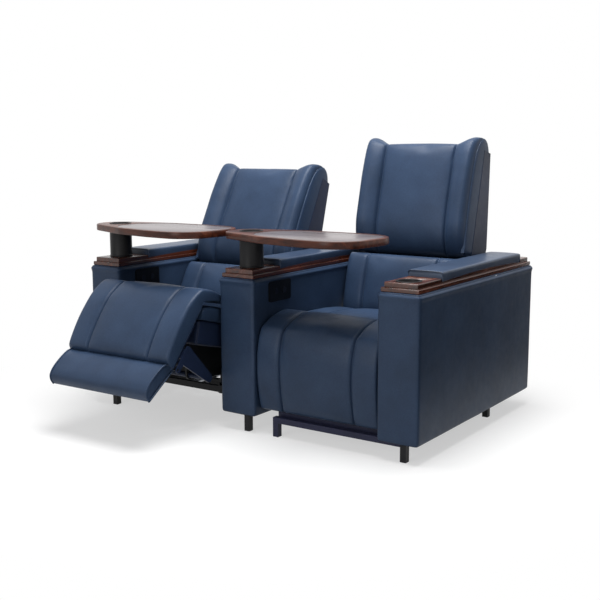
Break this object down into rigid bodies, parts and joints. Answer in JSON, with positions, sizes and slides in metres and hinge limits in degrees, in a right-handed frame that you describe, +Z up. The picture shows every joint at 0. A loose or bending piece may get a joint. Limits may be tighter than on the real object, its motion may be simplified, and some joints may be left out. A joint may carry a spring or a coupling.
{
  "type": "cinema recliner seat",
  "caption": "Row of motorised cinema recliners in panelled leather with shared arms, swivel tables and leg rests; one seat lies open and one is upright.",
  "frame": {"origin": "on the floor plane, under the middle of the bounding box", "axes": "+X to the sitters' left hand, which is the right side seen from the front; +Y rearward, +Z up; the sitters face -Y"},
  "size_m": [1.6576, 1.4932, 1.1849],
  "materials": {
    "leather": "soft satin, smooth grain",
    "leather_dark": "soft satin",
    "walnut": "satin lacquer",
    "laminate": "semi-gloss laminate",
    "black_plastic": "matte",
    "black_steel": "satin black paint",
    "zinc_steel": "satin"
  },
  "bodies": {
    "base": {"arm_left": "leather", "arm_cap_left": "walnut", "arm_pad_left": "leather", "foot_rail_left": "black_steel", "arm_middle": "leather", "arm_cap_middle": "walnut", "arm_pad_middle": "leather", "foot_rail_middle": "black_steel", "arm_right": "leather", "arm_cap_right": "walnut", "arm_pad_right": "leather", "foot_rail_right": "black_steel", "front_rail_right": "leather_dark", "cup_holder_right": "black_plastic", "table_post_left": "black_plastic", "switch_panel_left": "black_plastic", "table_post_middle": "black_plastic", "switch_panel_middle": "black_plastic", "base_frame_left": "black_steel", "drive_motor_left": "black_plastic", "base_frame_right": "black_steel", "drive_motor_right": "black_plastic"},
    "carriage_left": {"glide_carriage_left": "black_steel", "drive_rod_left": "zinc_steel"},
    "seat_left": {"seat_frame_left": "black_steel", "seat_box_left": "leather_dark", "seat_cushion_left": "leather"},
    "legrest_left": {"legrest_frame_left": "leather_dark", "legrest_board_left": "leather_dark", "legrest_pad_left": "leather"},
    "flap_left": {"legrest_flap_board_left": "black_steel", "legrest_flap_left": "leather"},
    "back_left": {"back_frame_left": "black_steel", "lumbar_cushion_left": "leather", "back_cushion_left": "leather", "back_shell_left": "leather_dark"},
    "carriage_right": {"glide_carriage_right": "black_steel", "drive_rod_right": "zinc_steel"},
    "seat_right": {"seat_frame_right": "black_steel", "seat_box_right": "leather_dark", "seat_cushion_right": "leather"},
    "legrest_right": {"legrest_frame_right": "leather_dark", "legrest_board_right": "leather_dark", "legrest_pad_right": "leather"},
    "flap_right": {"legrest_flap_board_right": "black_steel", "legrest_flap_right": "leather"},
    "back_right": {"back_frame_right": "black_steel", "lumbar_cushion_right": "leather", "back_cushion_right": "leather", "back_shell_right": "leather_dark"},
    "table_left": {"table_top_left": "walnut", "table_mat_left": "laminate", "table_cup_left": "black_plastic"},
    "button_left_1": {"switch_button_left_1": "zinc_steel"},
    "button_left_2": {"switch_button_left_2": "zinc_steel"},
    "table_middle": {"table_top_middle": "walnut", "table_mat_middle": "laminate", "table_cup_middle": "black_plastic"},
    "button_middle_1": {"switch_button_middle_1": "zinc_steel"},
    "button_middle_2": {"switch_button_middle_2": "zinc_steel"}
  },
  "joints": [
    {"name": "glide_left", "type": "slide", "parent": "base", "child": "carriage_left", "axis": [0, 1, 0], "range_m": [0, 0.361]},
    {"name": "tilt_left", "type": "hinge", "parent": "carriage_left", "child": "seat_left", "pos_m": [-0.3582, -0.17638, 0.2], "axis": [1, 0, 0], "range_deg": [0, 13.7]},
    {"name": "legrest_hinge_left", "type": "hinge", "parent": "seat_left", "child": "legrest_left", "pos_m": [-0.3582, -0.3919, 0.22372], "axis": [1, 0, 0], "range_deg": [0, 26.3]},
    {"name": "flap_hinge_left", "type": "hinge", "parent": "legrest_left", "child": "flap_left", "pos_m": [-0.3582, -0.58116, 0.29376], "axis": [1, 0, 0], "range_deg": [0, 195]},
    {"name": "recline_left", "type": "hinge", "parent": "seat_left", "child": "back_left", "pos_m": [-0.3582, 0.03347, 0.31353], "axis": [-1, 0, 0], "range_deg": [0, 12]},
    {"name": "glide_right", "type": "slide", "parent": "base", "child": "carriage_right", "axis": [0, -1, 0], "range_m": [0, 0.361]},
    {"name": "tilt_right", "type": "hinge", "parent": "carriage_right", "child": "seat_right", "pos_m": [0.3758, 0.18462, 0.2], "axis": [-1, 0, 0], "range_deg": [0, 13.7]},
    {"name": "legrest_hinge_right", "type": "hinge", "parent": "seat_right", "child": "legrest_right", "pos_m": [0.3758, -0.03038, 0.172], "axis": [-1, 0, 0], "range_deg": [0, 26.3]},
    {"name": "flap_hinge_right", "type": "hinge", "parent": "legrest_right", "child": "flap_right", "pos_m": [0.3758, -0.22038, 0.104], "axis": [-1, 0, 0], "range_deg": [0, 195]},
    {"name": "recline_right", "type": "hinge", "parent": "seat_right", "child": "back_right", "pos_m": [0.3758, 0.36162, 0.36], "axis": [-1, 0, 0], "range_deg": [0, 12]},
    {"name": "table_swivel_left", "type": "hinge", "parent": "base", "child": "table_left", "pos_m": [-0.7252, -0.21838, 0.7833], "axis": [0, 0, 1], "range_deg": [-75, 0]},
    {"name": "press_left_1", "type": "slide", "parent": "base", "child": "button_left_1", "axis": [-1, 0, 0], "range_m": [0, 0.0015], "stiffness_N_per_m": 600},
    {"name": "press_left_2", "type": "slide", "parent": "base", "child": "button_left_2", "axis": [-1, 0, 0], "range_m": [0, 0.0015], "stiffness_N_per_m": 600},
    {"name": "table_swivel_middle", "type": "hinge", "parent": "base", "child": "table_middle", "pos_m": [0.0088, -0.21838, 0.7833], "axis": [0, 0, 1], "range_deg": [-75, 0]},
    {"name": "press_middle_1", "type": "slide", "parent": "base", "child": "button_middle_1", "axis": [-1, 0, 0], "range_m": [0, 0.0015], "stiffness_N_per_m": 600},
    {"name": "press_middle_2", "type": "slide", "parent": "base", "child": "button_middle_2", "axis": [-1, 0, 0], "range_m": [0, 0.0015], "stiffness_N_per_m": 600}
  ],
  "couplings": [
    {"joint": "tilt_left", "follows": "glide_left", "rad_per_m": 0.6623},
    {"joint": "legrest_hinge_left", "follows": "glide_left", "rad_per_m": 1.2715},
    {"joint": "flap_hinge_left", "follows": "glide_left", "rad_per_m": 9.4276},
    {"joint": "tilt_right", "follows": "glide_right", "rad_per_m": 0.6623},
    {"joint": "legrest_hinge_right", "follows": "glide_right", "rad_per_m": 1.2715},
    {"joint": "flap_hinge_right", "follows": "glide_right", "rad_per_m": 9.4276}
  ]
}
